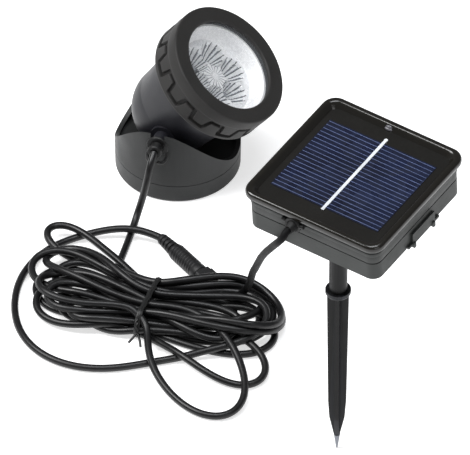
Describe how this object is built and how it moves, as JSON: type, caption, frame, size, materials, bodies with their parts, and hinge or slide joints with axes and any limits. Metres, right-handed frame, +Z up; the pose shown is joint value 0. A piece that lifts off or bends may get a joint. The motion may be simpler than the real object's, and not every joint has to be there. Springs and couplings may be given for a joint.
{
  "type": "solar underwater pond light",
  "caption": "Sealed round spotlight tilting in a weighted foot, its long lead tied in a hank and plugged to a square solar panel that tilts on a ground stake.",
  "frame": {"origin": "centre of the underside of the lamp's foot", "axes": "+Z up; +X the way the lamp faces; the head tilts about an axis along Y; the panel stands on its stake at about x 0.180, y -0.223 m"},
  "size_m": [0.3103, 0.3308, 0.2418],
  "materials": {
    "foot_plastic": "satin, fine grain",
    "ballast_iron": "as cast",
    "screw_steel": "plated",
    "head_plastic": "satin, fine grain",
    "bezel_plastic": "matte, fine grain",
    "lens_clear": "clear polished",
    "seal_rubber": "matte",
    "reflector_chrome": "metallised",
    "board_green": "solder mask",
    "led_clear": "clear epoxy",
    "relief_rubber": "satin",
    "cable_black": "semi-gloss jacket",
    "plug_black": "moulded, semi-matte",
    "pin_brass": "plated",
    "tie_black": "coated wire",
    "panel_gloss": "glossy",
    "panel_grey": "satin",
    "board_black": "glossy",
    "cell_blue": "glossy under resin",
    "busbar_silver": "tinned",
    "sensor_grey": "satin",
    "cell_jacket": "shrink sleeve",
    "button_black": "satin",
    "spring_steel": "bright",
    "stake_black": "satin",
    "tip_steel": "ground point"
  },
  "bodies": {
    "root": {"base_ring": "foot_plastic", "base_weight": "ballast_iron", "base_shell": "foot_plastic", "base_screws": "screw_steel", "lamp_lead": "cable_black", "lead_hank": "cable_black", "loop_lead": "cable_black", "front_loop": "cable_black", "plug": "plug_black", "plug_pin": "pin_brass", "socket": "plug_black", "coupling_seal": "seal_rubber", "twist_tie": "tie_black", "panel_lead": "cable_black", "stake_head": "stake_black", "tilt_bolt": "screw_steel"},
    "head": {"head_housing": "head_plastic", "front_lens": "lens_clear", "lens_gasket": "seal_rubber", "reflector": "reflector_chrome", "led_board": "board_green", "leds": "led_clear", "board_screws": "screw_steel", "lamp_strain_relief": "relief_rubber"},
    "bezel": {"bezel_ring": "bezel_plastic"},
    "panel": {"panel_cover": "panel_gloss", "panel_base": "panel_grey", "housing_gasket": "seal_rubber", "cell_board": "board_black", "solar_cell": "cell_blue", "busbar": "busbar_silver", "light_sensor": "sensor_grey", "control_board": "board_green", "battery_cells": "cell_jacket", "battery_contacts": "pin_brass", "door_pin": "screw_steel", "button_spring": "spring_steel", "housing_screws": "screw_steel", "panel_gland": "relief_rubber", "hinge_bracket": "stake_black", "bracket_screws": "screw_steel"},
    "door": {"battery_door": "panel_grey"},
    "button": {"power_button": "button_black"},
    "nut": {"wing_nut": "stake_black"},
    "stake": {"ground_stake": "stake_black", "stake_tip": "tip_steel"}
  },
  "joints": [
    {"name": "head_tilt", "type": "hinge", "parent": "root", "child": "head", "pos_m": [0, 0, 0.046], "axis": [0, 1, 0], "range_deg": [-110, 35]},
    {"name": "bezel_twist", "type": "hinge", "parent": "head", "child": "bezel", "pos_m": [0, 0, 0.046], "axis": [0.6101, 0, 0.7923], "range_deg": [0, 90]},
    {"name": "panel_tilt", "type": "hinge", "parent": "root", "child": "panel", "pos_m": [0.18, -0.223, 0.1945], "axis": [0.9622, -0.2723, 0], "range_deg": [-25, 60], "deforming": ["panel_lead"]},
    {"name": "door_hinge", "type": "hinge", "parent": "panel", "child": "door", "pos_m": [0.19482, -0.22829, 0.20966], "axis": [0.2716, 0.9599, 0.0698], "range_deg": [0, 85]},
    {"name": "button_press", "type": "slide", "parent": "panel", "child": "button", "axis": [-0.019, -0.0671, 0.9976], "range_m": [0, 0.0014], "stiffness_N_per_m": 250, "springref_m": -0.002, "deforming": ["button_spring"]},
    {"name": "nut_turn", "type": "hinge", "parent": "root", "child": "nut", "pos_m": [0.18, -0.223, 0.1945], "axis": [0.9622, -0.2723, 0], "continuous": true},
    {"name": "stake_swivel", "type": "hinge", "parent": "root", "child": "stake", "pos_m": [0.18, -0.223, 0.16], "axis": [0, 0, 1], "continuous": true}
  ]
}
